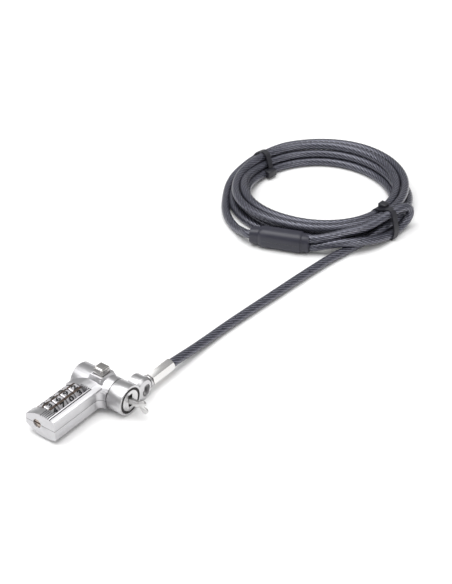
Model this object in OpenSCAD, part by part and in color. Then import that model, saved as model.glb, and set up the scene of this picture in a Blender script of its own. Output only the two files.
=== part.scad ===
// Combination cable lock for a laptop. A T-shaped die-cast lock head carries four number dials,
// a push button and a pair of spreading hooks; a free collar on its barrel holds the steel cable,
// which runs to a coil and ends in a crimped eye.
// The barrel axis is parallel to X with its nose towards +X, the handle runs towards -Y, and the
// head stands on z = 0 with the origin under the middle of its bounding box.

/* [Barrel and collar] */
// Outside diameter of the barrel and of the swivel collar
barrel_d = 14.4; // [14.2:0.1:14.6]
// Length of the barrel from the handle's centre line to the collar joint
neck_len = 11.9; // [11.8:0.1:12]
// Distance from the handle's centre line to the front face of the nose
nose_len = 20; // [19.8:0.1:20.2]
// Distance from the handle's centre line to the closed end of the barrel
tail_len = 9.3; // [9.2:0.1:9.6]
// Radius of the nose tube that the collar turns on
tube_r = 5.0; // [4.9:0.05:5.05]

/* [Handle] */
// Length of the handle from the barrel axis to its end face
handle_len = 36.4; // [36:0.1:37]
// Width of the handle
handle_w = 16.7; // [16.5:0.1:17]
// Half of the handle's greatest thickness
crown_h = 5.85; // [5.8:0.05:6]
// Radius of the arched top and bottom
crown_r = 18; // [17:0.5:20]
// Sideways offset of the arch's highest line
crown_x = 2.2; // [2:0.1:2.4]

/* [Dials] */
// Number of number dials
dial_count = 4; // [3:1:4]
// Outside radius of a dial
dial_r = 5.8; // [5.7:0.05:5.85]
// Distance from one dial to the next
dial_pitch = 5.3; // [5.2:0.05:5.35]
// Width of one dial
dial_w = 4.95; // [4.8:0.05:5]
// Sideways offset of the dials' common axis
dial_x = -1.85; // [-1.9:0.05:-1.8]

/* [Button and hooks] */
// Side of the square push button
button_w = 5.1; // [5:0.05:5.2]
// Distance of the button's centre from the handle's centre line
button_x = 3.9; // [3.8:0.05:4]
// Height of the button's top above the barrel axis
button_top = 11.7; // [11.4:0.1:12]
// Travel of the button
press = 2.5; // [2.3:0.1:2.5]
// Thickness of one hook plate
hook_t = 1.1; // [1:0.05:1.15]
// Distance of the hook tips from the handle's centre line
hook_reach = 29.2; // [29:0.1:29.4]

/* [Cable] */
// Diameter of the jacketed steel cable
cable_d = 4.4; // [4.2:0.1:4.5]
// Radius of the coil at the middle of its bundle
coil_r = 42.4; // [42:0.2:42.8]
// Width of the coiled bundle
coil_w = 13.2; // [13:0.1:13.4]
// Height of the coiled bundle
coil_h = 12.4; // [12.2:0.1:12.6]
// Length of the hexagonal ferrule
ferrule_len = 15; // [14.5:0.1:15.5]
// Width of the ferrule across its flats
ferrule_w = 5.6; // [5.4:0.1:5.8]

/* [Hidden] */
$fn = 64;
run_fit = 0.05;     // radial clearance of a turning or sliding fit
free_fit = 0.15;    // clearance of a part that only has to stay clear
eps = 0.01;
barrel_r = barrel_d / 2;
axis_h = barrel_r;  // height of the barrel axis above the surface it lies on
half_w = handle_w / 2;
lug_y = 12;         // distance of the cable lug from the barrel axis
lug_r = 4.8;
lug_x = 15.3;       // the lug's cable axis along the barrel
lug_z = lug_r - barrel_r;
origin_x = (hook_reach - tail_len) / 2;
origin_y = (lug_y + lug_r - handle_len) / 2;
dial_mid_y = -20.95;
dials_y0 = dial_mid_y - dial_pitch * dial_count / 2;
dials_y1 = dial_mid_y + dial_pitch * dial_count / 2;
spindle_r = 1.8;
sleeve_r = 4.0;
bore_r = 4.4;       // bore of the barrel, where the cam slider runs
slider_r = bore_r - 2 * run_fit;
flange_x = 8.95;    // inner face of the nose tube's flange
flange_t = 1.4;
flange_r = 5.8;
pivot_x = 13.5;     // the hooks' hinge pin along the barrel
hook_pin_r = 0.8;
head_r = 2.05;      // head of the reset screw
head_y = -34.2;     // inner face of the reset screw
boss_top = 8.2;
screws = [[6.2, -34.0, -5.1], [6.2, -8.2, -5.1], [-5.9, -34.0, -3.7]];
coil_at = [-25, 207, 0];
crimp_at = [-30, 152.2, 5.4];
crimp_angle = 21;
crimp_len = 31;
steel = [0.74, 0.74, 0.76];
dark = [0.13, 0.13, 0.16];
cable_grey = [0.30, 0.31, 0.37];

// Routes of the free cable along its centre line, where it isn't coiled.
lead_route = [[5.35, 36, 4.8], [5.35, 43.5, 4.8], [5.35, 49, 4.4], [5.3, 57, 3.5], [5.2, 66, 2.7],
    [5.3, 75, 2.3], [5.7, 86, 2.2], [6.5, 98, 2.2], [7.6, 112, 2.2], [8.7, 126, 2.2],
    [9.8, 140, 2.2], [10.9, 152, 2.2], [12, 162, 2.2], [13.6, 170, 2.2], [15.3, 178, 2.2],
    [17.4, 186, 2.8], [19.4, 194, 4.4], [20.9, 202, 5.6], [21.3, 209, 5.2]];
tail_route = [[-72.6, 202, 5.4], [-72.2, 195, 4.4], [-69.8, 187, 3.2], [-65.4, 179, 2.4],
    [-59.4, 170, 2.2], [-54, 164.1, 2.2], [-49.3, 160.4, 2.2], [-44.4, 157.5, 2.3], [-40.2, 155.5, 2.8],
    [-35.4, 153.6, 4], [-29.4, 152.4, 5.3]];
eye_route = [[-3, 162.6, 3.4], [1.4, 164.2, 3.9], [7, 168, 5.4], [12.2, 172.2, 6.3],
    [16.8, 177.1, 6.2], [21.1, 184.5, 5], [23.1, 191, 3.6], [24, 197, 2.6], [24.3, 203, 2.4],
    [24.6, 208.9, 2.8], [25, 213.4, 4.6], [25.2, 215.6, 7.4], [24.9, 215.2, 10.2], [24.1, 212.6, 12.3],
    [23, 208.6, 13], [22, 204.6, 12.7], [20.6, 200.4, 11.9], [18.7, 192, 10.8], [15.4, 183.6, 10],
    [10.8, 176.6, 9.6], [5.8, 169.4, 8.9], [0.8, 164.2, 8.3], [-3, 162.6, 8]];

// Sweeping a round tube along a route.
function unit(v) = v / norm(v);
function bend(a, b, c, d, t) = 0.5 * (2 * b + (c - a) * t + (2 * a - 5 * b + 4 * c - d) * t * t
    + (3 * b - a - 3 * c + d) * t * t * t);
function clip(i, n) = max(0, min(n, i));
function smooth(p, steps) = let (n = len(p) - 1) concat(
    [for (i = [0 : n - 1], k = [0 : steps - 1]) bend(p[clip(i - 1, n)], p[i], p[i + 1],
        p[clip(i + 2, n)], k / steps)], [p[n]]);
function heading(p, i) = let (n = len(p) - 1) unit(p[clip(i + 1, n)] - p[clip(i - 1, n)]);
function ring(c, along, r, sides) = let (u = unit(cross(along, [0, 0, 1])), v = cross(u, along))
    [for (k = [0 : sides - 1]) c + r * (cos(360 * k / sides) * u + sin(360 * k / sides) * v)];

module tube(route, r, sides = 10, steps = 2) {
    path = smooth(route, steps);
    n = len(path);
    points = [for (i = [0 : n - 1]) each ring(path[i], heading(path, i), r, sides)];
    walls = [for (i = [0 : n - 2], k = [0 : sides - 1]) let (a = i * sides, b = (k + 1) % sides)
        [a + k, a + sides + k, a + sides + b, a + b]];
    ends = [[for (k = [0 : sides - 1]) k], [for (k = [sides - 1 : -1 : 0]) (n - 1) * sides + k]];
    polyhedron(points, concat(walls, ends));
}

// A round wire wound along X.
module coil_spring(from_x, length, r, wire_r, turns, along_y = false) {
    steps = 10;
    sides = 6;
    n = turns * steps;
    path = [for (i = [0 : n]) let (a = 360 * i / steps, s = length * i / n) along_y
        ? [r * cos(a), s, r * sin(a)] : [s, r * cos(a), r * sin(a)]];
    points = [for (i = [0 : n]) let (a = 360 * i / steps, out = along_y ? [cos(a), 0, sin(a)]
        : [0, cos(a), sin(a)], side = along_y ? [0, 1, 0] : [1, 0, 0])
        each [for (k = [0 : sides - 1]) path[i] + wire_r * (cos(60 * k) * out + sin(60 * k) * side)]];
    walls = [for (i = [0 : n - 1], k = [0 : sides - 1]) let (a = i * sides, b = (k + 1) % sides)
        along_y ? [a + k, a + sides + k, a + sides + b, a + b]
        : [a + b, a + sides + b, a + sides + k, a + k]];
    first = [for (k = [0 : sides - 1]) along_y ? k : sides - 1 - k];
    last = [for (k = [0 : sides - 1]) n * sides + (along_y ? sides - 1 - k : k)];
    translate(from_x) polyhedron(points, concat(walls, [first, last]));
}

// The head's own frame: the barrel axis is X, the handle's centre line is Y.
module head() {
    translate([-origin_x, -origin_y, axis_h]) children();
}

module along_x(x, length, r) {
    translate([x, 0, 0]) rotate([0, 90, 0]) cylinder(h = length, r = r);
}

module along_y(x, y, z, length, r) {
    translate([x, y, z]) rotate([-90, 0, 0]) cylinder(h = length, r = r);
}

// A box given by two opposite corners.
module block(low, high) {
    translate(low) cube(high - low);
}

function crown(x) = crown_h - crown_r + sqrt(crown_r * crown_r - pow(x - crown_x, 2));

module handle_profile() {
    intersection() {
        translate([-half_w, -crown_h]) square([handle_w, 2 * crown_h]);
        translate([crown_x, crown_h - crown_r]) circle(crown_r, $fn = 128);
        translate([crown_x, crown_r - crown_h]) circle(crown_r, $fn = 128);
    }
}

// Concave corner between the handle's side and the barrel.
module neck_fillet() {
    fillet_r = 2.9;
    low = [half_w - 1, -barrel_r - 3.2];
    linear_extrude(8.4, center = true) difference() {
        translate(low) square([neck_len - low[0], 5]);
        translate([half_w + fillet_r, -barrel_r - fillet_r]) circle(fillet_r);
    }
}

// Raised square seat of the push button, flaring down into the barrel.
module button_boss() {
    hull() {
        block([button_x - 3.35, -3.9, boss_top - 0.5], [button_x + 3.35, 3.9, boss_top]);
        block([button_x - 4.6, -5, 4.4], [button_x + 4.6, 5, 4.6]);
    }
}

// Spaces that both shells share: dials, spindle, reset screw, cam slider, nose flange and screws.
module shell_spaces() {
    cavity_r = dial_r + free_fit + 0.05;
    window = dials_y1 - dials_y0;
    along_y(dial_x, dials_y0, 0, window, cavity_r);
    rotate([90, 0, 0]) translate([0, 0, -dials_y1]) linear_extrude(window) polygon(
        [[-half_w - 1, 1.5], [3.9, 1.5], [3.9, 4.3], [4.95, 5.4], [4.95, 9], [-half_w - 1, 9]]);
    block([-half_w - 1, dials_y0, -9], [4.2, dials_y1, -1.5]);
    block([3.8, dials_y0 + 0.2, -1.3], [4.4, dials_y1 - 0.2, 1.3]);
    along_y(dial_x, -33, 0, 30, spindle_r + 2 * run_fit);
    along_y(dial_x, -handle_len - 1, 0, handle_len + 1 - 32.3, head_r + 2 * run_fit);
    along_x(-tail_len - 1, neck_len + tail_len + 2, bore_r);
    along_x(flange_x - 0.05, flange_t + 0.1, flange_r + run_fit);
    along_x(flange_x, neck_len - flange_x + 1, tube_r + run_fit);
    hole = button_w / 2 + free_fit;
    block([button_x - hole, -hole, 3], [button_x + hole, hole, 9]);
    for (s = screws) {
        translate([s[0], s[1], s[2] - 3]) cylinder(h = 4.1, r = 1.6);
        translate([s[0], s[1], s[2]]) cylinder(h = abs(s[2]) + 2.6, r = 0.95);
    }
    along_y(6.7, -6, 6.9, 3.1, 0.75);
}

module shell_solid() {
    difference() {
        union() {
            rotate([90, 0, 0]) translate([0, 0, 3]) linear_extrude(handle_len - 3) handle_profile();
            along_x(0.5 - tail_len, neck_len + tail_len - 0.5, barrel_r);
            neck_fillet();
            button_boss();
        }
        shell_spaces();
    }
}

module upper_shell() {
    ribs = 6;
    rib_pitch = 1.05;
    color(steel) head() difference() {
        intersection() {
            shell_solid();
            block([-20, -50, 0], [20, 20, 20]);
        }
        for (i = [0 : ribs - 1]) {
            x = 0.3 + rib_pitch * i;
            block([x, -handle_len - 1, crown(x + 0.25) - 0.5], [x + 0.5, -9.3, 9]);
        }
    }
}

module lower_shell() {
    color(steel) head() intersection() {
        shell_solid();
        block([-20, -50, -20], [20, 20, 0]);
    }
}

module barrel_cap() {
    color(steel) head() union() {
        along_x(-tail_len, 0.5, barrel_r - 0.3);
        along_x(0.5 - tail_len, 1.4, bore_r - run_fit);
    }
}

module nose_tube() {
    color(steel) head() difference() {
        union() {
            along_x(flange_x, nose_len - flange_x, tube_r);
            along_x(flange_x, flange_t, flange_r);
        }
        along_x(flange_x - 1, nose_len - flange_x - 0.8, 3.6);
        block([nose_len - 3, -1.35, -3.2], [nose_len + 1, 1.35, 3.2]);
        translate([nose_len - 1, 0, 0]) rotate([0, 90, 0]) difference() {
            cylinder(h = 0.7, r = tube_r + 1);
            translate([0, 0, -1]) cylinder(h = 3, r = 4.55);
        }
        along_y(pivot_x, -6, 0, 12, hook_pin_r);
    }
}

// Open ring that snaps into the nose tube's groove and keeps the collar on.
module retaining_ring() {
    color(dark) head() translate([nose_len - 0.95, 0, 0]) rotate([0, 90, 0]) difference() {
        cylinder(h = 0.6, r = 6.15);
        translate([0, 0, -1]) cylinder(h = 3, r = 4.55);
        rotate(-20) translate([0, 0, -1]) linear_extrude(3) polygon([[0, 0], [9, 1.5], [9, 8]]);
    }
}

module friction_washer() {
    color(dark) head() difference() {
        along_x(neck_len + 0.02, 0.26, barrel_r - 0.3);
        along_x(neck_len - 1, 3, tube_r + run_fit);
    }
}

module hook_pin() {
    color(steel) head() along_y(pivot_x, -tube_r + 0.1, 0, 2 * tube_r - 0.2, hook_pin_r);
}

module shell_screws() {
    color(steel) head() for (s = screws) translate([s[0], s[1], s[2]]) difference() {
        union() {
            cylinder(h = 1, r = 1.5);
            cylinder(h = abs(s[2]) + 2.4, r = 0.9);
        }
        translate([-0.25, -2, -0.1]) cube([0.5, 4, 0.6]);
        translate([-2, -0.25, -0.1]) cube([4, 0.5, 0.6]);
    }
}

module bezel_pin() {
    color(steel) head() along_y(6.7, -4.45, 6.9, 1.5, 0.75);
}

// Leaf spring that clicks the dials into place.
module detent_strip() {
    color(steel) head() difference() {
        block([4.05, dials_y0 + 0.3, -1.15], [4.3, dials_y1 - 0.3, 1.15]);
        for (i = [1 : dial_count - 1]) {
            y = dials_y0 + dial_pitch * i;
            block([4, y - 0.2, -0.8], [4.4, y + 0.2, 2]);
        }
    }
}

module slider_spring() {
    color(steel) head() coil_spring([-7.05, 0, 0], 4.7, 3, 0.3, 5);
}

module spindle_spring() {
    color(steel) head() coil_spring([dial_x, head_y + 0.25, 0], 1.2, 1.5, 0.18, 3, true);
}

// Ten-sided number dial; its flats carry the digits.
module dial(i) {
    y = dials_y0 + dial_pitch * (i - 0.5) - dial_w / 2;
    flat_r = dial_r - 0.12;
    color(steel) head() translate([dial_x, y, 0]) rotate([-90, 0, 0]) difference() {
        intersection() {
            cylinder(h = dial_w, r = dial_r);
            rotate(9) cylinder(h = dial_w, r = flat_r / cos(18), $fn = 10);
        }
        translate([0, 0, -1]) cylinder(h = dial_w + 2, r = sleeve_r + run_fit);
    }
}

module dial_1() { dial(1); }
module dial_2() { dial(2); }
module dial_3() { dial(3); }
module dial_4() { dial(4); }

// Clutch ring inside a dial, with the notch that lets the spindle pass.
module clutch_sleeve(i) {
    sleeve_w = dial_w - 0.4;
    y = dials_y0 + dial_pitch * (i - 0.5) - sleeve_w / 2;
    color([0.72, 0.62, 0.36]) head() translate([dial_x, y, 0]) rotate([-90, 0, 0]) difference() {
        cylinder(h = sleeve_w, r = sleeve_r);
        translate([0, 0, -1]) cylinder(h = sleeve_w + 2, r = spindle_r + 2 * run_fit);
        translate([-0.6, 0, -1]) cube([1.2, 2.9, sleeve_w + 2]);
    }
}

module clutch_sleeve_1() { clutch_sleeve(1); }
module clutch_sleeve_2() { clutch_sleeve(2); }
module clutch_sleeve_3() { clutch_sleeve(3); }
module clutch_sleeve_4() { clutch_sleeve(4); }

// Locking bar through the dials.
module spindle() {
    color(steel) head() difference() {
        along_y(dial_x, -32.2, 0, 27, spindle_r);
        for (i = [1 : dial_count - 1]) {
            y = dials_y0 + dial_pitch * i;
            translate([dial_x, y - 0.3, 0]) rotate([-90, 0, 0]) difference() {
                cylinder(h = 0.6, r = spindle_r + 1);
                translate([0, 0, -1]) cylinder(h = 3, r = spindle_r - 0.35);
            }
        }
    }
}

module reset_screw() {
    recess = 0.5;
    slot_w = 0.9;
    depth = handle_len + head_y;
    color(steel) head() difference() {
        along_y(dial_x, recess - handle_len, 0, depth - recess, head_r);
        block([dial_x - 3, -handle_len, -slot_w / 2], [dial_x + 3, 1.2 - handle_len, slot_w / 2]);
    }
}

// Square button with a bevelled top and a wedge foot that drives the cam slider.
module push_button() {
    half = button_w / 2;
    foot = 2.0;
    color(steel) head() union() {
        block([button_x - half, -half, 7], [button_x + half, half, button_top - 0.6]);
        hull() {
            block([button_x - half, -half, button_top - 0.61], [button_x + half, half, button_top - 0.6]);
            block([button_x - half + 0.6, 0.6 - half, button_top - 0.01],
                [button_x + half - 0.6, half - 0.6, button_top]);
        }
        translate([button_x, 2.2, 0]) rotate([90, 0, 0]) linear_extrude(4.4)
            polygon([[-foot, 3], [0, 1], [foot, 1], [foot, 7.1], [-foot, 7.1]]);
    }
}

// Slider in the barrel: the button's wedge pushes it back, its nose keeps the hooks spread.
module cam_slider() {
    back_x = -2.0;
    wall_x = button_x + 2 + press + 0.2;
    end_x = flange_x - 0.1;
    color([0.72, 0.62, 0.36]) head() union() {
        difference() {
            along_x(back_x, end_x - back_x, slider_r);
            translate([0, 2.6, 0]) rotate([90, 0, 0]) linear_extrude(5.2) polygon(
                [[button_x + 2.7, -1.8], [wall_x, -1.8], [wall_x, 6], [button_x - 5.1, 6]]);
        }
        block([wall_x, -1.2, -2.8], [9.8, 1.2, 1.05]);
        block([9.7, -1.2, -1.05], [11.7, 1.2, 1.05]);
    }
}

// One of the two spreading hooks, lying in the XZ plane with its plate from y to y + hook_t.
module hook(y) {
    translate([0, y + hook_t, 0]) rotate([90, 0, 0]) linear_extrude(hook_t) difference() {
        union() {
            translate([pivot_x, 0]) circle(1.6);
            polygon([[10.9, -2.3], [13.5, -2.3], [13.5, -1], [10.9, -1.2]]);
            polygon([[pivot_x, -1.2], [24.9, -1], [25.6, 0.2], [27.4, 0.9], [28.8, 1.3],
                [hook_reach, 2.1], [hook_reach - 0.1, 3], [28.4, 3.7], [27.3, 3.8], [26.2, 3.2],
                [25.1, 1.7], [pivot_x, 1.6]]);
        }
        translate([pivot_x, 0]) circle(hook_pin_r + run_fit);
    }
}

module upper_hook() {
    color(steel) head() hook(-hook_t - 0.05);
}

module lower_hook() {
    color(steel) head() mirror([0, 0, 1]) hook(0.05);
}

// Collar that turns on the nose tube, with the lug that holds the cable.
module swivel_collar() {
    collar_x = neck_len + 0.32;
    lug_x1 = lug_x + 3.4;
    body_r = 5.5;
    taper = 1.6;
    slot_r = 2.2;
    color(steel) head() difference() {
        union() {
            along_x(collar_x, nose_len - collar_x, barrel_r);
            translate([0, lug_y + lug_r - body_r, body_r - barrel_r]) union() {
                along_x(collar_x, lug_x1 - taper - collar_x, body_r);
                translate([lug_x1 - taper, 0, 0]) rotate([0, 90, 0])
                    cylinder(h = taper, r1 = body_r, r2 = body_r - 0.9);
            }
            block([collar_x, 0, -3.6], [lug_x1 - taper, lug_y - 1, 2.6]);
        }
        along_x(0, 30, tube_r + run_fit + 0.01);
        along_x(nose_len - 1.05, 3, 6.3);
        along_y(lug_x, lug_y - 2.2, lug_z, 3.5, 2.7);
        along_y(lug_x, lug_y, lug_z, 9, 1.55);
        translate([0, lug_y + 0.4, lug_z - 0.3]) rotate([-20, 0, 0]) union() {
            block([lug_x, -slot_r, -0.8], [lug_x1 + 1, slot_r, 0.8]);
            for (side = [-0.8, 0.8]) translate([0, 0, side]) along_x(lug_x, 9, slot_r);
        }
    }
}

// Headed pin that turns in the lug and reaches into the ferrule.
module swivel_pin() {
    color(steel) head() union() {
        along_y(lug_x, lug_y - 1.6, lug_z, 1.8, 2.6);
        along_y(lug_x, lug_y, lug_z, lug_r + 8.6, 1.5);
        along_y(lug_x, lug_y + lug_r + 0.3, lug_z, 0.9, 3.1);
    }
}

module ferrule() {
    y0 = lug_y + lug_r + 1.9;
    across = ferrule_w / cos(30);
    color(steel) head() translate([lug_x, y0, lug_z]) rotate([-90, 0, 0]) difference() {
        intersection() {
            rotate(15) cylinder(h = ferrule_len, d = across, $fn = 6);
            cylinder(h = ferrule_len, r1 = ferrule_len + 2.2, r2 = 2.6);
        }
        translate([0, 0, -1]) cylinder(h = 8, r = 1.5);
        translate([0, 0, 7]) cylinder(h = ferrule_len, r = cable_d / 2);
        rotate(-15) translate([-4, 2.6, 7.2]) cube([8, 2, 0.7]);
    }
}

module cable_lead() {
    color(cable_grey) tube(lead_route, cable_d / 2, steps = 1);
}

module cable_coil() {
    corner = 2;
    color(cable_grey) translate(coil_at) rotate_extrude($fn = 96) translate([coil_r, 0]) polygon(
        [[-coil_w / 2 + corner, 0], [coil_w / 2 - corner, 0], [coil_w / 2, corner],
        [coil_w / 2, coil_h - corner], [coil_w / 2 - corner, coil_h],
        [-coil_w / 2 + corner, coil_h], [-coil_w / 2, coil_h - corner], [-coil_w / 2, corner]]);
}

module cable_tail() {
    color(cable_grey) tube(tail_route, cable_d / 2);
}

module cable_eye() {
    color(cable_grey) tube(eye_route, cable_d / 2);
}

// Moulded sleeve over the two runs of the eye.
module crimp_sleeve() {
    body_w = 9.4;
    body_h = 10.6;
    module oval(w, h, length) {
        rotate([0, 90, 0]) linear_extrude(length) union() {
            square([h - w, w], center = true);
            for (s = [-1, 1]) translate([s * (h - w) / 2, 0]) circle(w / 2);
        }
    }
    color(dark) translate(crimp_at) rotate(crimp_angle) union() {
        oval(body_w - 1.4, body_h - 1.4, crimp_len);
        translate([4, 0, 0]) oval(body_w, body_h, crimp_len - 8);
    }
}

// Flat tie around the bundle, at an angle round the coil.
module tie(angle, inner, outer, top) {
    band = 0.8;
    tie_w = 3.8;
    color(dark) translate(coil_at) rotate(angle) difference() {
        block([inner - band, -tie_w / 2, 0], [outer + band, tie_w / 2, top + band]);
        block([inner, -tie_w, band], [outer, tie_w, top]);
    }
}

module tie_left() {
    tie(168, coil_r - coil_w / 2, coil_r + coil_w / 2, coil_h);
}

module tie_right() {
    tie(-7.5, coil_r - coil_w / 2, 52.9, coil_h + 2.2);
}

lower_shell();
upper_shell();
barrel_cap();
nose_tube();
retaining_ring();
friction_washer();
hook_pin();
shell_screws();
bezel_pin();
detent_strip();
slider_spring();
spindle_spring();
dial_1();
dial_2();
dial_3();
dial_4();
clutch_sleeve_1();
clutch_sleeve_2();
clutch_sleeve_3();
clutch_sleeve_4();
spindle();
reset_screw();
push_button();
cam_slider();
upper_hook();
lower_hook();
swivel_collar();
swivel_pin();
ferrule();
cable_lead();
cable_coil();
cable_tail();
cable_eye();
crimp_sleeve();
tie_left();
tie_right();
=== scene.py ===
"""Looks of the laptop cable lock: lock head, swivel collar, cable, coil, crimped eye and ties."""

import bmesh
import bpy
import math
from mathutils import Matrix, Vector


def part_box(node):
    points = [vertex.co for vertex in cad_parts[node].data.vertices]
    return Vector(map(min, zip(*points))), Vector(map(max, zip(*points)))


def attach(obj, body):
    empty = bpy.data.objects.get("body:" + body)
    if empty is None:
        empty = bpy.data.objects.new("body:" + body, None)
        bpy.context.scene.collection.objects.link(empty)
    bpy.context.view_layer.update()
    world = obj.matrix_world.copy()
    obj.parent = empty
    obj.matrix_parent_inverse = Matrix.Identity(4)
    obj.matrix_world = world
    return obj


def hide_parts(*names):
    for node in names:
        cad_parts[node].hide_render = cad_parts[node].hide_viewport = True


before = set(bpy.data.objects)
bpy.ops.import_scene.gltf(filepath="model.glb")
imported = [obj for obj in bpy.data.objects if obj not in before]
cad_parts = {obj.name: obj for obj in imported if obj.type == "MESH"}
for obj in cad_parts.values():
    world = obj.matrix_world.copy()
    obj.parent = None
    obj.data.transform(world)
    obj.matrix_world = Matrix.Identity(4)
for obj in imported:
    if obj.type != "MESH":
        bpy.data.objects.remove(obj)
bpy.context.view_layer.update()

MM = 0.001

# ---------------------------------------------------------------- places, worked out from the frame


def middle_of(node, axis):
    """The middle of a node's box along one axis (0, 1 or 2)."""
    low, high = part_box(node)
    return (low[axis] + high[axis]) / 2


NOSE_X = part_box("nose_tube")[1][0]          # the nose's front face
AXIS_Y = middle_of("nose_tube", 1)          # the barrel axis, across and up
AXIS_Z = middle_of("nose_tube", 2)
HANDLE_X = NOSE_X - 20 * MM                 # the handle's centre line
DIAL_X = middle_of("dial_1", 0)
COIL_X, COIL_Y = middle_of("cable_coil", 0), middle_of("cable_coil", 1)

# the camera: where it stands, how far it looks down, its heading from +Y towards -X, and its lens
CAMERA_AT = (0.39055, -0.42275, 0.4611)
CAMERA_DOWN, CAMERA_HEADING = math.radians(34.59), math.radians(90 - 52.82)
CAMERA_LENS = 103.0

SEAM_SHADE_HALF = 0.09 * MM      # half the width of the painted shade line along the shells' parting line
SEAM_REACH = 0.2 * MM      # edges this near the parting plane stay crisp
# the handle's ribs: how many grooves, and in millimetres the first one's start, pitch and width
RIBS, RIB_START, RIB_PITCH, RIB_GROOVE = 6, 0.3, 1.05, 0.5
HANDLE_TOP_Y = AXIS_Y - 9 * MM              # the handle's flat back starts here

FLATS = 10                 # digits round each dial
FIRST_FLAT = 0.25          # share of a pitch from the top of a dial to its first flat
PAD_SHARE = 1.025          # a flat's distance from the axis, as a share of a true polygon's
PAD_HALF = 12.5            # half the angle of a flat, in degrees
VALLEY = 0.955             # radius between the fine ridges, as a share of the dial's
DIAL_BORE = 4.1 * MM
DIGIT_HEIGHT = 3.4 * MM

CABLE_D = 4.4 * MM
CABLE_R = CABLE_D / 2
ROUTE_STEP = 1.0 * MM      # distance between the cable's rings
STRANDS = 10
STRAND_LAY = 29 * MM       # length of one full twist
STRAND_STEPS = 4           # corners of the outline for each strand
STRAND_DEPTH = 0.12 * MM   # how deep the jacket dips between strands
WIRES_A_STRAND = 2.0

SLEEVE_START = Vector((-30, 152.2, 5.4)) * MM
SLEEVE_ANGLE = math.radians(21)
TIE_THICK = 0.9 * MM

# The cable's free route, point by point, in millimetres: lead, tail and eye.
LEAD = [(5.35, 36, 4.8), (5.35, 43.5, 4.8), (5.35, 49, 4.4), (5.3, 57, 3.5), (5.2, 66, 2.7),
        (5.3, 75, 2.3), (5.7, 86, 2.2), (6.5, 98, 2.2), (7.6, 112, 2.2), (8.7, 126, 2.2),
        (9.8, 140, 2.2), (10.9, 152, 2.2), (12, 162, 2.2), (13.6, 170, 2.2), (15.3, 178, 2.2),
        (17.4, 186, 2.8), (19.4, 194, 4.4), (20.9, 202, 5.6), (21.3, 209, 5.2)]
TAIL = [(-72.6, 202, 5.4), (-72.2, 195, 4.4), (-69.8, 187, 3.2), (-65.4, 179, 2.4),
        (-59.4, 170, 2.2), (-54, 164.1, 2.2), (-49.3, 160.4, 2.2), (-44.4, 157.5, 2.3),
        (-40.2, 155.5, 2.8), (-35.4, 153.6, 4), (-29.4, 152.4, 5.3)]
EYE = [(-3, 162.6, 3.4), (1.4, 164.2, 3.9), (7, 168, 5.4), (12.2, 172.2, 6.3), (16.8, 177.1, 6.2),
       (21.1, 184.5, 5), (23.1, 191, 3.6), (24, 197, 2.6), (24.3, 203, 2.4), (24.6, 208.9, 2.8),
       (25, 213.4, 4.6), (25.2, 215.6, 7.4), (24.9, 215.2, 10.2), (24.1, 212.6, 12.3),
       (23, 208.6, 13), (22, 204.6, 12.7), (20.6, 200.4, 11.9), (18.7, 192, 10.8),
       (15.4, 183.6, 10), (10.8, 176.6, 9.6), (5.8, 169.4, 8.9), (0.8, 164.2, 8.3),
       (-3, 162.6, 8)]

# The coil's turns: (angle in degrees, radius, height) of the cable's centre line as it winds.
# Each turn lies in the hollow between two of the turns below it.
COIL_KEYS = [(2.4, 46.3, 5.2), (60, 46.9, 2.2), (170, 46.9, 2.2),
             (225, 46, 2.2), (285, 42.2, 2.2), (354, 43.8, 2.2), (450, 42.5, 2.2), (530, 42.5, 2.2),
             (585, 41, 2.2), (645, 37.9, 2.2), (714, 39.4, 2.2), (810, 38.1, 2.2), (890, 38.1, 2.2),
             (945, 38.6, 5.8), (1005, 40.1, 6.1), (1074, 41.4, 6.1), (1170, 40.3, 6), (1250, 40.3, 6),
             (1305, 40, 9.8), (1365, 37.9, 9.9), (1434, 38.3, 9.3), (1530, 42.2, 9.9),
             (1610, 42.5, 9.8), (1665, 44.5, 8.8), (1725, 42.3, 9.9), (1794, 42.9, 10.2),
             (1890, 46.6, 9.9), (1945, 46.9, 8.6), (1970, 47.5, 6.6), (1986, 47.9, 5.4)]


# ---------------------------------------------------------------- camera and light

def add_camera():
    """The photograph's viewpoint: a long lens from high on the nose's side."""
    data = bpy.data.cameras.new("camera")
    data.lens = CAMERA_LENS
    data.sensor_width = 36
    data.clip_start, data.clip_end = 0.01, 20
    cam = bpy.data.objects.new("camera", data)
    cam.location = CAMERA_AT
    cam.rotation_euler = (math.pi / 2 - CAMERA_DOWN, 0, CAMERA_HEADING)
    bpy.context.collection.objects.link(cam)
    bpy.context.scene.camera = cam


def add_light(name, place, target, size, power, colour=(1, 1, 1)):
    """An area light, size in metres and power in watts, aimed at the target."""
    data = bpy.data.lights.new(name, "AREA")
    data.shape = "RECTANGLE"
    data.size, data.size_y = size
    data.energy = power
    data.color = colour
    lamp = bpy.data.objects.new(name, data)
    lamp.location = place
    lamp.rotation_euler = (Vector(target) - Vector(place)).to_track_quat("-Z", "Y").to_euler()
    bpy.context.collection.objects.link(lamp)


def add_studio():
    """Two soft lights, the tent and a white floor just under the object."""
    middle = (0, 0.08, 0)
    add_light("key", (-0.45, -0.3, 0.85), middle, (0.95, 0.95), 5.5)
    add_light("right", (0.8, 0.0, 0.3), middle, (0.25, 0.5), 1.6, (1, 0.985, 0.96))
    bpy.context.scene.view_settings.view_transform = "Standard"
    add_sky()
    mesh = bpy.data.meshes.new("floor")
    half = 3.0
    mesh.from_pydata([(-half, -half, 0), (half, -half, 0), (half, half, 0), (-half, half, 0)], [],
                     [(0, 1, 2, 3)])
    floor = bpy.data.objects.new("floor", mesh)
    floor.location = (0, 0.1, -0.00002)
    bpy.context.collection.objects.link(floor)
    mat, shader, _ = new_material("floor_white", (0.95, 0.95, 0.95), 0, 0.6)
    mesh.materials.append(mat)


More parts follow.
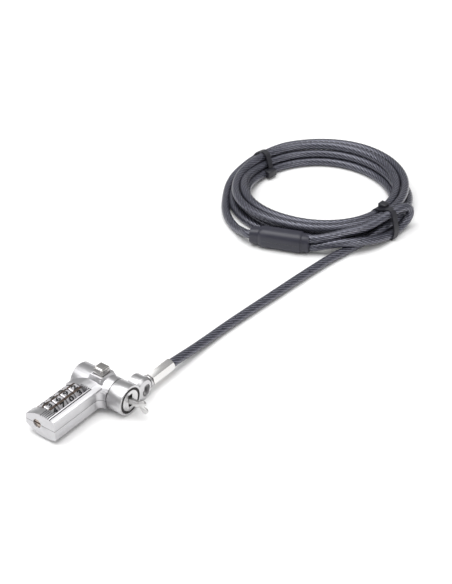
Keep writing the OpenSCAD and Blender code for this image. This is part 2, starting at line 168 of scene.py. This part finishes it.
def add_sky():
    """A studio tent: bright overhead, with a darker belt low down that gives metal its contrast."""
    world = bpy.data.worlds.new("studio")
    bpy.context.scene.world = world
    world.use_nodes = True
    tree = world.node_tree
    back = tree.nodes["Background"]
    place = tree.nodes.new("ShaderNodeTexCoord")
    split = tree.nodes.new("ShaderNodeSeparateXYZ")
    ramp = tree.nodes.new("ShaderNodeValToRGB")
    brightest = 4.0
    # (height, from straight down at 0 to straight up at 1, and brightness)
    stops = [(0.0, 0.46), (0.3, 0.4), (0.58, 0.38), (0.8, 0.62), (0.9, 1.7), (1.0, 3.6)]
    ramp.color_ramp.elements[0].position, ramp.color_ramp.elements[1].position = 0.0, 1.0
    for position, _ in stops[1:-1]:
        ramp.color_ramp.elements.new(position)
    for element, (_, grey) in zip(ramp.color_ramp.elements, stops):
        element.color = (grey / brightest, grey / brightest, grey / brightest, 1)
    link(tree, place.outputs["Generated"], split.inputs["Vector"])
    link(tree, split.outputs["Z"], ramp.inputs["Fac"])
    link(tree, ramp.outputs["Color"], back.inputs["Color"])
    back.inputs["Strength"].default_value = brightest


# ---------------------------------------------------------------- materials

def new_material(name, colour, metallic, roughness):
    mat = bpy.data.materials.new(name)
    mat.use_nodes = True
    mat.diffuse_color = (*colour, 1)
    tree = mat.node_tree
    shader = tree.nodes["Principled BSDF"]
    shader.inputs["Base Color"].default_value = (*colour, 1)
    shader.inputs["Metallic"].default_value = metallic
    shader.inputs["Roughness"].default_value = roughness
    return mat, shader, tree


def link(tree, a, b):
    tree.links.new(a, b)


def noise(tree, scale, detail=4, stretch=(1, 1, 1)):
    """A noise texture in the row frame's metres; stretch squeezes it along each axis."""
    place = tree.nodes.new("ShaderNodeTexCoord")
    mapping = tree.nodes.new("ShaderNodeMapping")
    mapping.inputs["Scale"].default_value = stretch
    tex = tree.nodes.new("ShaderNodeTexNoise")
    tex.inputs["Scale"].default_value = scale
    tex.inputs["Detail"].default_value = detail
    link(tree, place.outputs["Object"], mapping.inputs["Vector"])
    link(tree, mapping.outputs["Vector"], tex.inputs["Vector"])
    return tex.outputs["Fac"]


def remap_range(tree, value, from_low, from_high, low, high):
    node = tree.nodes.new("ShaderNodeMapRange")
    node.inputs["From Min"].default_value = from_low
    node.inputs["From Max"].default_value = from_high
    node.inputs["To Min"].default_value = low
    node.inputs["To Max"].default_value = high
    link(tree, value, node.inputs["Value"])
    return node.outputs["Result"]


def remap(tree, value, low, high):
    return remap_range(tree, value, 0, 1, low, high)


def math_node(tree, operation, value, *more):
    """A math node; each further value is a number or a socket."""
    node = tree.nodes.new("ShaderNodeMath")
    node.operation = operation
    link(tree, value, node.inputs[0])
    for i, other in enumerate(more, 1):
        if isinstance(other, (int, float)):
            node.inputs[i].default_value = other
        else:
            link(tree, other, node.inputs[i])
    return node.outputs["Value"]


def mix_colour(tree, value, dark, light):
    node = tree.nodes.new("ShaderNodeMix")
    node.data_type = "RGBA"
    node.inputs["A"].default_value = (*dark, 1)
    node.inputs["B"].default_value = (*light, 1)
    link(tree, value, node.inputs["Factor"])
    return node.outputs["Result"]


def bump(tree, shader, value, distance, strength=1.0):
    node = tree.nodes.new("ShaderNodeBump")
    node.inputs["Distance"].default_value = distance
    node.inputs["Strength"].default_value = strength
    link(tree, value, node.inputs["Height"])
    link(tree, node.outputs["Normal"], shader.inputs["Normal"])


def satin_metal(name, colour, roughness, grain=(1, 1, 1), amount=0.06, bump_height=0.00001,
                tint=0.06):
    """Metal with a fine grain; grain stretches it along one axis for a brushed finish. amount is how
    far the roughness varies, and tint how far the colour does."""
    mat, shader, tree = new_material(name, colour, 1, roughness)
    fine = noise(tree, 2600, 3, grain)
    link(tree, remap(tree, fine, roughness - amount, roughness + amount), shader.inputs["Roughness"])
    dark = tuple(c * (1 - tint) for c in colour)
    light = tuple(min(1, c * (1 + tint)) for c in colour)
    link(tree, mix_colour(tree, noise(tree, 420, 4, grain), dark, light), shader.inputs["Base Color"])
    bump(tree, shader, fine, bump_height, 0.35)
    return mat


def polished_metal(name, colour, roughness):
    mat, shader, tree = new_material(name, colour, 1, roughness)
    smear = noise(tree, 500, 3)
    link(tree, remap(tree, smear, roughness * 0.6, roughness * 1.5), shader.inputs["Roughness"])
    return mat


def plastic(name, colour, roughness, coat=0.0, grain_scale=3000, height=0.00002):
    mat, shader, tree = new_material(name, colour, 0, roughness)
    grain = noise(tree, grain_scale, 2)
    link(tree, remap(tree, grain, roughness - 0.05, roughness + 0.08), shader.inputs["Roughness"])
    link(tree, mix_colour(tree, noise(tree, 160, 3), tuple(c * 0.85 for c in colour),
                          tuple(c * 1.12 for c in colour)), shader.inputs["Base Color"])
    bump(tree, shader, grain, height, 0.3)
    shader.inputs["Coat Weight"].default_value = coat
    shader.inputs["Coat Roughness"].default_value = 0.15
    return mat


def cable_material():
    """Twisted steel strands under a clear glossy jacket. In the map, U runs across the strands and V
    along the cable, in millimetres. The colour paints shade in the gaps between strands and wires,
    and painted highlights on their crowns, with a random grime tone."""
    mat, shader, tree = new_material("cable_strands", (0.1, 0.1, 0.125), 0.5, 0.3)
    uv = tree.nodes.new("ShaderNodeUVMap")
    uv.uv_map = "strands"
    split = tree.nodes.new("ShaderNodeSeparateXYZ")
    link(tree, uv.outputs["UV"], split.inputs["Vector"])
    # painted shade between the strands (0.35 in the gaps) and painted highlight on their crowns; the
    # wire term does the same for the wires
    strand_gap_shade = remap_range(tree, math_node(tree, "SINE", split.outputs["X"]), -1, 1, 0.35, 1)
    wires = math_node(tree, "SINE", math_node(tree, "MULTIPLY", split.outputs["X"], WIRES_A_STRAND))
    wire = math_node(tree, "POWER", remap_range(tree, wires, 1, -1, 0, 1), 2.2)
    grime = noise(tree, 700, 4)
    strand_shade_and_grime = math_node(tree, "MULTIPLY", strand_gap_shade, wire)
    strand_shade_and_grime = math_node(tree, "MULTIPLY", strand_shade_and_grime, remap(tree, grime, 0.45, 1.4))
    # near black in the strand and wire gaps as painted shade, the jacket's colour on the crowns as
    # painted highlight
    link(tree, mix_colour(tree, strand_shade_and_grime, (0.002, 0.002, 0.005), (0.34, 0.345, 0.44)),
         shader.inputs["Base Color"])
    link(tree, remap(tree, grime, 0.2, 0.42), shader.inputs["Roughness"])
    shader.inputs["Coat Weight"].default_value = 0.35
    shader.inputs["Coat Roughness"].default_value = 0.14
    return mat


def seamed(mat):
    """Paints shade along the parting plane at the height of the barrel axis: a dark line for the gap's
    shadow.
    """
    tree = mat.node_tree
    shader = tree.nodes["Principled BSDF"]
    place = tree.nodes.new("ShaderNodeTexCoord")
    split = tree.nodes.new("ShaderNodeSeparateXYZ")
    link(tree, place.outputs["Object"], split.inputs["Vector"])
    above = math_node(tree, "SUBTRACT", split.outputs["Z"], AXIS_Z)
    away = math_node(tree, "ABSOLUTE", above)
    off_seam_shade = remap_range(tree, away, SEAM_SHADE_HALF, SEAM_SHADE_HALF * 1.6, 0.12, 1)
    source = shader.inputs["Base Color"].links[0].from_socket
    # the painted seam shade: a dark colour mixed in along the parting line
    node = tree.nodes.new("ShaderNodeMix")
    node.data_type = "RGBA"
    node.inputs["A"].default_value = (0.05, 0.05, 0.05, 1)
    link(tree, off_seam_shade, node.inputs["Factor"])
    link(tree, source, node.inputs["B"])
    link(tree, node.outputs["Result"], shader.inputs["Base Color"])
    return mat


def make_materials():
    return {
        # the shells' satin metal, with a painted shade line along the parting plane
        "satin": seamed(satin_metal("satin_zinc", (0.55, 0.545, 0.56), 0.36)),
        # painted shade: darker metal for the floors of the grooves between the ribs
        "groove": satin_metal("rib_groove", (0.16, 0.155, 0.165), 0.4),
        "cap": satin_metal("cap_zinc", (0.55, 0.545, 0.56), 0.36),
        "collar": satin_metal("collar_zinc", (0.58, 0.575, 0.585), 0.33, (1, 1, 1), 0.02, 0.000002,
                              0.015),
        "chrome": polished_metal("bright_chrome", (0.60, 0.585, 0.57), 0.07),
        "ferrule": polished_metal("polished_steel", (0.74, 0.73, 0.72), 0.12),
        "steel": satin_metal("plain_steel", (0.62, 0.615, 0.62), 0.28, (1, 1, 3)),
        "hook": satin_metal("hook_steel", (0.60, 0.595, 0.59), 0.34, (1, 1, 3)),
        "screw": satin_metal("screw_steel", (0.42, 0.36, 0.32), 0.35),
        "dial": satin_metal("dial_metal", (0.62, 0.61, 0.63), 0.36, (1, 4, 1)),
        "knurl": satin_metal("dial_knurl", (0.22, 0.175, 0.15), 0.42),
        "ink": plastic("digit_ink", (0.006, 0.006, 0.008), 0.6),
        "dark": satin_metal("dark_steel", (0.045, 0.042, 0.042), 0.42),
        "brass": satin_metal("brass", (0.62, 0.5, 0.26), 0.33),
        "wire": satin_metal("spring_steel", (0.5, 0.5, 0.53), 0.3),
        "cable": cable_material(),
        "sleeve": plastic("moulded_sleeve", (0.019, 0.019, 0.033), 0.42, 0.15),
        "tie": plastic("tie_plastic", (0.014, 0.014, 0.02), 0.4, 0.1),
    }


# ---------------------------------------------------------------- mesh helpers

def add_piece(name, verts, faces, mat, body, smooth=True, replaces=()):
    """A mesh piece in the row frame's metres, riding on a body."""
    mesh = bpy.data.meshes.new(name)
    mesh.from_pydata([tuple(v) for v in verts], [], faces)
    mesh.update()
    obj = bpy.data.objects.new(name, mesh)
    bpy.context.collection.objects.link(obj)
    mesh.materials.append(mat)
    mesh.polygons.foreach_set("use_smooth", [smooth] * len(mesh.polygons))
    return dress(obj, body, replaces)


def dress(obj, body, replaces=()):
    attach(obj, body)
    if replaces:
        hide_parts(*replaces)
    return obj


def smooth_by_angle(mesh, degrees):
    """Smooth faces, with an edge kept sharp where two faces meet at more than the angle."""
    bm = bmesh.new()
    bm.from_mesh(mesh)
    limit = math.radians(degrees)
    for edge in bm.edges:
        edge.smooth = len(edge.link_faces) == 2 and edge.calc_face_angle(0) < limit
    for face in bm.faces:
        face.smooth = True
    bm.to_mesh(mesh)
    bm.free()


def catmull(a, b, c, d, t):
    """A point of the smooth curve from b to c, with a and d as its neighbours."""
    return 0.5 * (2 * b + (c - a) * t + (2 * a - 5 * b + 4 * c - d) * t * t
                  + (3 * b - a - 3 * c + d) * t * t * t)


def smooth_route(points, steps=8):
    last = len(points) - 1
    route = []
    for i in range(last):
        a, b = points[max(0, i - 1)], points[i]
        c, d = points[i + 1], points[min(last, i + 2)]
        route += [catmull(a, b, c, d, k / steps) for k in range(steps)]
    return route + [points[last]]


def even_steps(route, step):
    """The same line with points an equal distance apart."""
    lengths = [0.0]
    for a, b in zip(route, route[1:]):
        lengths.append(lengths[-1] + (b - a).length)
    count = max(2, round(lengths[-1] / step))
    out, i = [], 0
    for k in range(count + 1):
        want = lengths[-1] * k / count
        while i < len(route) - 2 and lengths[i + 1] < want:
            i += 1
        span = max(1e-9, lengths[i + 1] - lengths[i])
        out.append(route[i].lerp(route[i + 1], (want - lengths[i]) / span))
    return out


def frames_along(route):
    """A point, a heading and two sideways directions for each place on the line, without twist."""
    frames = []
    side = None
    last = len(route) - 1
    for i, p in enumerate(route):
        ahead = (route[min(last, i + 1)] - route[max(0, i - 1)]).normalized()
        if side is None:
            side = ahead.orthogonal().normalized()
        side = (side - ahead * side.dot(ahead)).normalized()
        frames.append((p, ahead, side, ahead.cross(side)))
    return frames


def sweep(route, outline, turn=lambda distance: 0.0):
    """Vertices and faces of an outline (a list of (side, up)) carried along a line."""
    verts, faces = [], []
    n = len(outline)
    distance = 0.0
    before = route[0]
    for p, _, side, up in frames_along(route):
        distance += (p - before).length
        before = p
        a = turn(distance)
        c, s = math.cos(a), math.sin(a)
        for x, y in outline:
            verts.append(p + side * (x * c - y * s) + up * (x * s + y * c))
    for i in range(len(route) - 1):
        for k in range(n):
            j = (k + 1) % n
            faces.append((i * n + k, i * n + j, (i + 1) * n + j, (i + 1) * n + k))
    faces.append(tuple(range(n - 1, -1, -1)))
    faces.append(tuple(range(len(verts) - n, len(verts))))
    return verts, faces


def refined(node, name, mat, body, width, segments=2, angle=28, fine=None, fine_share=0.3):
    """A copy of a CAD node with the edges sharper than angle rounded over to width; fine(point) tells
    where they stay crisper, at fine_share of the width."""
    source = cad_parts[node]
    mesh = source.data.copy()
    mesh.name = name
    bm = bmesh.new()
    bm.from_mesh(mesh)
    bmesh.ops.remove_doubles(bm, verts=bm.verts, dist=0.002 * MM)
    bmesh.ops.dissolve_limit(bm, angle_limit=math.radians(0.6), verts=bm.verts,
                             edges=bm.edges, delimit={"NORMAL"})
    weight = bm.edges.layers.float.new("bevel_weight_edge")
    for edge in bm.edges:
        if len(edge.link_faces) == 2 and edge.calc_face_angle(0) > math.radians(angle):
            middle = source.matrix_world @ ((edge.verts[0].co + edge.verts[1].co) / 2)
            edge[weight] = fine_share if fine and fine(middle) else 1.0
    for face in bm.faces:
        face.smooth = True
    bm.to_mesh(mesh)
    bm.free()
    obj = bpy.data.objects.new(name, mesh)
    bpy.context.collection.objects.link(obj)
    obj.matrix_world = source.matrix_world.copy()
    mesh.materials.clear()
    mesh.materials.append(mat)
    bevel = obj.modifiers.new("round", "BEVEL")
    bevel.width = width
    bevel.segments = segments
    bevel.limit_method = "WEIGHT"
    bevel.harden_normals = True
    bevel.miter_outer = "MITER_ARC"
    return dress(obj, body, (node,))


# ---------------------------------------------------------------- the cable

def ease(t):
    """0 to 1 with a level start and end."""
    return t * t * (3 - 2 * t)


def coil_route():
    """The turns of the coil, from the lead's end round to the start of the tail."""
    route = []
    step = 4.0
    for (a0, r0, z0), (a1, r1, z1) in zip(COIL_KEYS, COIL_KEYS[1:]):
        count = max(1, round((a1 - a0) / step))
        for k in range(count):
            t = k / count
            angle = math.radians(a0 + (a1 - a0) * t)
            r = (r0 + (r1 - r0) * ease(t)) * MM
            z = (z0 + (z1 - z0) * ease(t)) * MM
            route.append(Vector((COIL_X + r * math.cos(angle), COIL_Y + r * math.sin(angle), z)))
    return route


def metres(points):
    return [Vector(p) * MM for p in points]


def relax(route, rounds):
    """Evens out the small kinks where two stretches of the route join."""
    for _ in range(rounds):
        route = ([route[0]] + [(a + b * 2 + c) / 4 for a, b, c in zip(route, route[1:], route[2:])]
                 + [route[-1]])
    return route


def cable_route():
    """The cable's centre line, from the ferrule through the coil to the end of the eye."""
    lead = smooth_route(metres(LEAD))
    tail = smooth_route(metres(TAIL + EYE[:1]))
    eye = smooth_route(metres(EYE))
    whole = lead[:-1] + coil_route()[1:] + tail + eye[1:]
    return relax(even_steps(whole, ROUTE_STEP), 6)


def rope_outline():
    """A round outline with one shallow lobe for each strand."""
    outline = []
    total = STRANDS * STRAND_STEPS
    for k in range(total):
        a = 2 * math.pi * k / total
        r = CABLE_R - STRAND_DEPTH * (1 - abs(math.cos(STRANDS * a / 2)))
        outline.append((r * math.cos(a), r * math.sin(a)))
    return outline


def add_cable(mats):
    """The whole cable as one swept piece; the ties and the sleeve, which lie with it, are their own
    pieces.
    """
    route = cable_route()
    outline = rope_outline()
    twist = lambda distance: 2 * math.pi * distance / STRAND_LAY
    verts, faces = sweep(route, outline, turn=twist)
    cable = add_piece("cable", verts, faces, mats["cable"], "cable",
                      replaces=("cable_lead", "cable_coil", "cable_tail", "cable_eye"))
    mesh = cable.data
    layer = mesh.uv_layers.new(name="strands")
    around = len(outline)
    for face in mesh.polygons:
        corner = list(zip(face.vertices, face.loop_indices))
        ks = [v % around for v, _ in corner]
        wraps = max(ks) - min(ks) > around / 2
        for v, loop in corner:
            k, ring = v % around, v // around
            k += around if wraps and k < around / 2 else 0
            layer.data[loop].uv = (2 * math.pi * k / STRAND_STEPS + math.pi / 2, ring * ROUTE_STEP / MM)
    return cable


# ---------------------------------------------------------------- crimped sleeve and ties

def sleeve_section(width, height, corner, steps=6):
    """A rounded rectangle, starting in the middle of its right side."""
    points = []
    for quarter in range(4):
        cx = (width / 2 - corner) * (1 if quarter in (0, 3) else -1)
        cy = (height / 2 - corner) * (1 if quarter in (0, 1) else -1)
        for k in range(steps + 1):
            a = math.radians(90 * quarter + 90 * k / steps)
            points.append((cx + corner * math.cos(a), cy + corner * math.sin(a)))
    return points


def add_sleeve(mats):
    """The moulded sleeve, swept with a collar at each end, and its parting line."""
    along = Vector((math.cos(SLEEVE_ANGLE), math.sin(SLEEVE_ANGLE), 0))
    side = Vector((-along.y, along.x, 0))
    up = Vector((0, 0, 1))
    # distance along the sleeve, width, height and corner radius, in millimetres
    stations = [(0, 6.2, 7.4, 2.8), (0.25, 7.0, 8.2, 3.0), (4.2, 7.6, 9.0, 3.0), (4.7, 7.4, 8.9, 3.0),
                (5.0, 7.8, 9.3, 3.2), (5.8, 9.0, 10.2, 3.6), (7.2, 9.4, 10.6, 3.8),
                (25.6, 9.4, 10.6, 3.8), (26.6, 9.1, 10.3, 3.6), (27.0, 8.1, 9.5, 3.2),
                (27.4, 8.0, 9.4, 3.2), (30.6, 8.0, 9.4, 3.2), (31, 7.2, 8.8, 2.8)]
    verts, faces = [], []
    for at, width, height, corner in stations:
        for x, y in sleeve_section(width * MM, height * MM, corner * MM):
            verts.append(SLEEVE_START + along * (at * MM) + side * x + up * y)
    n = len(verts) // len(stations)
    for i in range(len(stations) - 1):
        for k in range(n):
            j = (k + 1) % n
            faces.append((i * n + k, i * n + j, (i + 1) * n + j, (i + 1) * n + k))
    faces.append(tuple(range(n - 1, -1, -1)))
    faces.append(tuple(range(len(verts) - n, len(verts))))
    body = add_piece("sleeve_body", verts, faces, mats["sleeve"], "cable",
                     replaces=("crimp_sleeve",))
    smooth_by_angle(body.data, 40)
    seam_w, seam_h, seam_out = 0.16 * MM, 0.12 * MM, 4.64 * MM
    outline = [(-seam_w, -seam_h), (seam_w, -seam_h), (seam_w, seam_h), (-seam_w, seam_h)]
    seams = []
    for sign, name in ((-1, "sleeve_seam_near"), (1, "sleeve_seam_far")):
        line = [SLEEVE_START + along * (at * MM) + side * sign * seam_out for at in (7.4, 12, 19, 25.4)]
        v, f = sweep(line, outline)
        seams.append(add_piece(name, v, f, mats["tie"], "cable", smooth=False))
    return [body] + seams


def add_tie(name, node, angle_top, angle_low, profile, head, width, mats):
    """A flat strap round the bundle. profile is a closed list of (radius, height); the strap leans
    from angle_top on the bundle's top to angle_low at the floor. head is the catch's radius, height,
    angle and size."""
    width *= MM
    top = max(z for _, z in profile)
    loop = []
    closed = [Vector((r, z, 0)) for r, z in profile]
    count = len(closed)
    for i in range(count):
        a, b, c, d = (closed[(i + k) % count] for k in (-1, 0, 1, 2))
        loop += [catmull(a, b, c, d, k / 5) for k in range(5)]
    n = len(loop)
    verts, faces = [], []
    for i in range(n):
        p = loop[i]
        ahead = (loop[(i + 1) % n] - loop[i - 1]).normalized()
        out = Vector((ahead.y, -ahead.x, 0))
        lean = angle_low + (angle_top - angle_low) * min(1, max(0, p.y / top))
        around = math.radians(lean)
        across = Vector((-math.sin(around), math.cos(around), 0))
        for s, o in ((-1, 0), (1, 0), (1, 1), (0.55, 1.12), (-0.55, 1.12), (-1, 1)):
            q = p + out * (o * TIE_THICK / MM)
            r, z = q.x * MM, max(0.00005, q.y * MM)
            base = Vector((COIL_X + r * math.cos(around), COIL_Y + r * math.sin(around), z))
            verts.append(base + across * s * width / 2)
    for i in range(n):
        for k in range(6):
            j, m = (k + 1) % 6, (i + 1) % n
            faces.append((i * 6 + k, i * 6 + j, m * 6 + j, m * 6 + k))
    band = add_piece(name, verts, faces, mats["tie"], "cable", replaces=(node,))
    smooth_by_angle(band.data, 35)
    r, z, lean, size = head
    around = math.radians(lean)
    spin = Matrix.Rotation(around, 4, "Z")
    place = Matrix.Translation((COIL_X + r * MM * math.cos(around),
                                COIL_Y + r * MM * math.sin(around), z * MM))
    block = box_piece(name + "_head", [s * MM for s in size], place @ spin, mats["tie"], "cable",
                      0.5 * MM)
    return [band, block]


def box_piece(name, size, matrix, mat, body, rounding):
    """A block with rounded edges."""
    bm = bmesh.new()
    bmesh.ops.create_cube(bm, size=1, matrix=Matrix.Diagonal((*size, 1)))
    bmesh.ops.bevel(bm, geom=bm.edges[:], offset=rounding, segments=3, affect="EDGES", profile=0.5)
    mesh = bpy.data.meshes.new(name)
    bmesh.ops.transform(bm, matrix=matrix, verts=bm.verts)
    bm.to_mesh(mesh)
    bm.free()
    obj = bpy.data.objects.new(name, mesh)
    bpy.context.collection.objects.link(obj)
    mesh.materials.append(mat)
    smooth_by_angle(mesh, 40)
    return dress(obj, body)


def add_ties(mats):
    # (radius, height) round the bundle, in millimetres, from the inner foot up and over
    left = [(36.2, 0.9), (35.6, 3), (37.4, 8), (40, 12.1), (43.5, 12.7), (47.4, 10.2),
            (50, 5.6), (49.2, 1.4), (46.9, 0.2), (38, 0.2)]
    right = [(39, 0.3), (36.2, 3), (35.6, 9), (37.4, 12), (41, 12.9), (44, 14.2), (46.6, 14.8),
             (48.8, 13.6), (50.6, 10.4), (52.4, 6.4), (52.9, 3.6), (52.5, 1.2), (50.6, 0.2), (44, 0.2)]
    return (add_tie("tie_left_band", "tie_left", 170, 172, left, (35.4, 2.9, 173, (3.6, 6, 4)), 3.0,
                    mats)
            + add_tie("tie_right_band", "tie_right", -5.6, -9.4, right, (40, 13.4, -2, (4.6, 4, 2.4)),
                      3.4, mats))


# ---------------------------------------------------------------- the lock head

def on_seam(point):
    return abs(point.z - AXIS_Z) < SEAM_REACH


def on_ribs(point):
    """The ribs and the dial window on the handle's back."""
    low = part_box("upper_shell")[0]
    inside = low[0] + 2.2 * MM < point.x < low[0] + 16.2 * MM
    return (inside and point.y < HANDLE_TOP_Y and point.z > AXIS_Z + 1 * MM) or on_seam(point)


def in_groove(point):
    """The floors of the six grooves between the ribs, in millimetres across the handle."""
    across = (point.x - HANDLE_X) / MM - RIB_START
    return (0 < across < RIB_PITCH * RIBS and across % RIB_PITCH < RIB_GROOVE
            and point.y < HANDLE_TOP_Y and point.z > AXIS_Z + 4.4 * MM)


def add_shells(mats):
    """The two cast halves; the floors of the upper one's grooves get darker metal as painted shade."""
    upper, _ = [refined(node, node + "_cast", mats["satin"], "head", 0.4 * MM, 3, 30,
                        crisp, 0.22)
                for node, crisp in (("upper_shell", on_ribs), ("lower_shell", on_seam))]
    mesh = upper.data
    # the second material is painted shade on the groove floors
    mesh.materials.append(mats["groove"])
    for face in mesh.polygons:
        corners = [upper.matrix_world @ mesh.vertices[v].co for v in face.vertices]
        middle = sum(corners, Vector()) / len(corners)
        if face.normal.z > 0.7 and all(in_groove(p.lerp(middle, 0.1)) for p in corners):
            face.material_index = 1


def add_head_parts(mats):
    """The turned and cast parts, each with its edges rounded over."""
    # node, ending of the piece's name, material, slot, body, rounding in millimetres, segments
    parts = [("barrel_cap", "turned", "cap", "satin_zinc", "head", 0.25, 2),
             ("nose_tube", "turned", "steel", "plain_steel", "head", 0.12, 2),
             ("retaining_ring", "black", "dark", "dark_steel", "head", 0.1, 2),
             ("swivel_collar", "cast", "collar", "collar_zinc", "collar", 0.35, 3),
             ("push_button", "polished", "chrome", "bright_chrome", "button", 0.25, 3),
             ("upper_hook", "tumbled", "hook", "plain_steel", "hook_up", 0.3, 3),
             ("lower_hook", "tumbled", "hook", "plain_steel", "hook_down", 0.3, 3),
             ("reset_screw", "turned", "screw", "plain_steel", "reset", 0.15, 2),
             ("ferrule", "polished", "ferrule", "polished_steel", "cable", 0.2, 3),
             ("swivel_pin", "turned", "steel", "plain_steel", "cable", 0.15, 2)]
    for node, finish, look, slot, body, rounding, segments in parts:
        refined(node, f"{node}_{finish}", mats[look], body, rounding * MM, segments)


# ---------------------------------------------------------------- the dials

def add_dials(mats):
    """Each dial: a barrel with ten flats, a digit on each flat and fine ridges between them."""
    for number in range(1, 5):
        low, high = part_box(f"dial_{number}")
        add_dial(number, low, high, mats)


def add_dial(number, low, high, mats):
    centre = Vector((DIAL_X, (low[1] + high[1]) / 2, (low[2] + high[2]) / 2))
    half = (high[1] - low[1]) / 2
    outer = (high[2] - low[2]) / 2
    verts, faces = [], []
    # (distance from the middle along the axis, how far below the full radius)
    rims = [(-half, 0.45 * MM), (-half + 0.2 * MM, 0.12 * MM), (-half + 0.45 * MM, 0),
            (half - 0.45 * MM, 0), (half - 0.2 * MM, 0.12 * MM), (half, 0.45 * MM)]
    outline = dial_outline(outer)
    n = len(outline)
    for y, drop in rims:
        for x, z in outline:
            r = math.hypot(x, z)
            k = (r - drop) / r
            verts.append(centre + Vector((x * k, y, z * k)))
    for y in (half, -half):
        for x, z in outline:
            r = math.hypot(x, z)
            verts.append(centre + Vector((x * DIAL_BORE / r, y, z * DIAL_BORE / r)))
    rings = len(rims) + 2
    for i in range(rings):
        m = (i + 1) % rings
        for k in range(n):
            j = (k + 1) % n
            faces.append((i * n + k, i * n + j, m * n + j, m * n + k))
    dial = add_piece(f"dial_{number}_ring", verts, faces, mats["dial"], f"wheel_{number}",
                     replaces=(f"dial_{number}",))
    dial.data.materials.append(mats["knurl"])
    smooth_by_angle(dial.data, 25)
    mark_knurl(dial, centre)
    add_digits(number, centre, outer, mats)


def dial_outline(outer):
    """A ten-sided outline: a smooth pad for each digit, and three fine ridges at each corner."""
    points = []
    pad = outer * math.cos(math.pi / FLATS) * PAD_SHARE
    # three ridges: (degrees from the flat's middle, share of the full radius)
    ridges = ((13.3, VALLEY), (14.3, 1), (15.5, 1), (16.2, VALLEY), (16.8, VALLEY), (17.5, 1),
              (18.5, 1), (19.2, VALLEY), (19.8, VALLEY), (20.5, 1), (21.7, 1), (22.7, VALLEY))
    for f in range(FLATS):
        middle = 2 * math.pi * (f + FIRST_FLAT) / FLATS
        for a in (-PAD_HALF, -6, 0, 6, PAD_HALF):
            turn = math.radians(a)
            r = min(outer, pad / math.cos(turn))
            points.append((middle + turn, r))
        for a, r in ridges:
            points.append((middle + math.radians(a), outer * r))
    return [(r * math.sin(a), r * math.cos(a)) for a, r in points]


def mark_knurl(dial, centre):
    """Gives the ridges between the flats their darker metal."""
    for face in dial.data.polygons:
        offset = face.center - centre
        pitch = 360 / FLATS
        turn = math.degrees(math.atan2(offset.x, offset.z)) - pitch * FIRST_FLAT
        if abs((turn + pitch / 2) % pitch - pitch / 2) > PAD_HALF + 0.2:
            face.material_index = 1


def digit_mesh(digit):
    """A flat digit, 1 unit high, with its middle at the origin."""
    text = bpy.data.curves.new("digit", "FONT")
    text.body = str(digit)
    text.align_x, text.align_y = "CENTER", "CENTER"
    text.extrude = 0.01
    text.offset = 0.045
    text.resolution_u = 3
    holder = bpy.data.objects.new("digit", text)
    bpy.context.collection.objects.link(holder)
    graph = bpy.context.evaluated_depsgraph_get()
    mesh = bpy.data.meshes.new_from_object(holder.evaluated_get(graph))
    bpy.data.objects.remove(holder)
    return mesh


def add_digits(number, centre, outer, mats):
    """One digit on each flat, joined into one piece."""
    joined = bmesh.new()
    lift = outer * math.cos(math.pi / FLATS) * PAD_SHARE + 0.01 * MM
    for place_index in range(FLATS):
        mesh = digit_mesh((place_index + 3 * number) % FLATS)
        xs = [v.co.x for v in mesh.vertices]
        ys = [v.co.y for v in mesh.vertices]
        middle = Vector(((max(xs) + min(xs)) / 2, (max(ys) + min(ys)) / 2, 0))
        scale = DIGIT_HEIGHT / (max(ys) - min(ys))
        angle = 2 * math.pi * (place_index + FIRST_FLAT) / FLATS
        # the digit's up is round the dial, and its right is along the dial's axis
        stand = Matrix(((0, -1, 0, 0), (1, 0, 0, 0), (0, 0, 1, 0), (0, 0, 0, 1)))
        flatten = Matrix.Diagonal((scale * 1.2, scale * 0.74, scale * 0.2, 1))
        place = (Matrix.Translation(centre) @ Matrix.Rotation(angle, 4, "Y")
                 @ Matrix.Translation((0, 0, lift)) @ stand @ flatten @ Matrix.Translation(-middle))
        part = bmesh.new()
        part.from_mesh(mesh)
        bmesh.ops.transform(part, matrix=place, verts=part.verts)
        part.to_mesh(mesh)
        part.free()
        joined.from_mesh(mesh)
        bpy.data.meshes.remove(mesh)
    mesh = bpy.data.meshes.new(f"dial_{number}_digits")
    joined.to_mesh(mesh)
    joined.free()
    obj = bpy.data.objects.new(mesh.name, mesh)
    bpy.context.collection.objects.link(obj)
    mesh.materials.append(mats["ink"])
    dress(obj, f"wheel_{number}")


def finish_cad_nodes(mats):
    """Materials of the CAD nodes that are shown as they are."""
    looks = {"friction_washer": "dark", "hook_pin": "steel", "shell_screws": "steel",
             "bezel_pin": "steel", "detent_strip": "wire", "slider_spring": "wire",
             "spindle_spring": "wire", "spindle": "steel", "cam_slider": "brass"}
    looks.update({f"clutch_sleeve_{i}": "brass" for i in range(1, 5)})
    for node, look in looks.items():
        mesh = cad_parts[node].data
        mesh.materials.clear()
        mesh.materials.append(mats[look])


add_camera()
materials = make_materials()
cord_pieces = add_sleeve(materials) + add_ties(materials)
add_cable(materials)
add_studio()
add_shells(materials)
add_head_parts(materials)
add_dials(materials)
finish_cad_nodes(materials)
